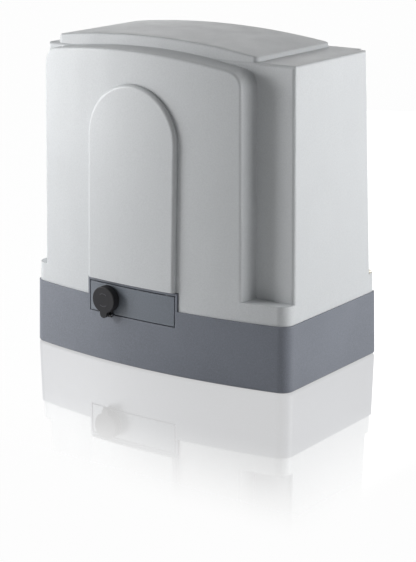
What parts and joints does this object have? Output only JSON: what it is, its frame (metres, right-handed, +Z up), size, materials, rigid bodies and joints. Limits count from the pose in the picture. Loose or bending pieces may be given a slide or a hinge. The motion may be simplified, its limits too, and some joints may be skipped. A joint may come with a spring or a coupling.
{
  "type": "sliding gate motor",
  "caption": "Electric operator for a sliding gate: cast base, lift-off cover, worm drive with rear rack pinion, hinged release door with lock, and sprung limit switch lever.",
  "frame": {"origin": "middle of the base's footprint, on its underside, at the centre of the four anchor slots", "axes": "+Z up, +Y to the back where the pinion and the gate's rack are, +X to the right seen from the front"},
  "size_m": [0.3, 0.2357, 0.311],
  "materials": {
    "base_paint": "satin dark blue-grey paint",
    "door_paint": "satin dark grey paint",
    "cover_plastic": "fine textured light grey moulding",
    "panel_plastic": "satin light grey moulding",
    "black_rubber": "dull",
    "steel": "machined",
    "zinc_steel": "bright zinc plate",
    "cast_aluminium": "as cast",
    "iron_stack": "stacked laminations",
    "bronze": "machined bronze",
    "copper": "enamelled wire",
    "black_plastic": "moulded",
    "board_green": "solder mask",
    "terminal_plastic": "moulded",
    "relay_plastic": "moulded",
    "white_plastic": "moulded",
    "tape_yellow": "wound tape"
  },
  "bodies": {
    "frame": {"base_housing": "base_paint", "door_pin": "steel", "gearbox_housing": "cast_aluminium", "gearbox_cover": "cast_aluminium", "gearbox_screws": "zinc_steel", "shaft_bearings": "steel", "oil_seal": "black_rubber", "worm_bearings": "steel", "motor_stator": "iron_stack", "motor_windings": "copper", "motor_case": "black_plastic", "motor_lower_bell": "cast_aluminium", "motor_upper_bell": "cast_aluminium", "motor_bolts": "zinc_steel", "board_tray": "black_plastic", "control_board": "board_green", "board_screws": "zinc_steel", "terminal_blocks": "terminal_plastic", "board_relays": "relay_plastic", "fuse_holder": "white_plastic", "transformer": "tape_yellow", "transformer_clamp": "zinc_steel", "run_capacitor": "white_plastic", "capacitor_clip": "zinc_steel", "limit_switch_body": "black_plastic", "cable_grommet": "black_rubber", "levelling_screws": "zinc_steel"},
    "cover_body": {"cover": "cover_plastic", "front_panel": "panel_plastic", "cover_screws": "zinc_steel"},
    "door": {"release_door": "door_paint", "lock_bezel": "black_plastic", "cap_pin": "steel"},
    "cap": {"lock_cap": "black_rubber"},
    "lock": {"lock_plug": "zinc_steel", "lock_tongue": "zinc_steel"},
    "release": {"release_yoke": "zinc_steel", "release_pin": "steel", "release_spring": "steel"},
    "output": {"output_shaft": "steel", "pinion_key": "steel", "worm_wheel": "bronze", "pinion": "zinc_steel", "pinion_screw": "zinc_steel"},
    "rotor": {"worm": "steel", "rotor_core": "iron_stack"},
    "switch_lever": {"limit_switch_hub": "black_plastic", "limit_switch_spring": "steel"}
  },
  "joints": [
    {"name": "cover_lift", "type": "slide", "parent": "frame", "child": "cover_body", "axis": [0, 0, 1], "range_m": [0, 0.28]},
    {"name": "door_hinge", "type": "hinge", "parent": "frame", "child": "door", "pos_m": [0.0233, -0.0822, 0.0626], "axis": [0, 0, 1], "range_deg": [0, 90]},
    {"name": "cap_hinge", "type": "hinge", "parent": "door", "child": "cap", "pos_m": [-0.0442, -0.0888, 0.048], "axis": [1, 0, 0], "range_deg": [0, 90]},
    {"name": "lock_turn", "type": "hinge", "parent": "door", "child": "lock", "pos_m": [-0.0442, -0.0864, 0.0635], "axis": [0, 1, 0], "range_deg": [0, 90]},
    {"name": "release_push", "type": "slide", "parent": "frame", "child": "release", "axis": [0, 1, 0], "range_m": [0, 0.00613]},
    {"name": "rotor_spin", "type": "hinge", "parent": "frame", "child": "rotor", "pos_m": [0.0325, 0.022, 0.085], "axis": [0, 0, 1], "continuous": true},
    {"name": "output_spin", "type": "hinge", "parent": "frame", "child": "output", "pos_m": [-0.016, 0.022, 0.085], "axis": [0, 1, 0], "continuous": true},
    {"name": "switch_swing", "type": "hinge", "parent": "frame", "child": "switch_lever", "pos_m": [-0.016, 0.073, 0.14], "axis": [0, 0, 1], "range_deg": [-25, 25], "stiffness_Nm_per_rad": 0.1}
  ],
  "couplings": [
    {"joint": "door_hinge", "follows": "release_push", "rad_per_m": 256.41},
    {"joint": "output_spin", "follows": "rotor_spin", "ratio": 0.033333}
  ]
}
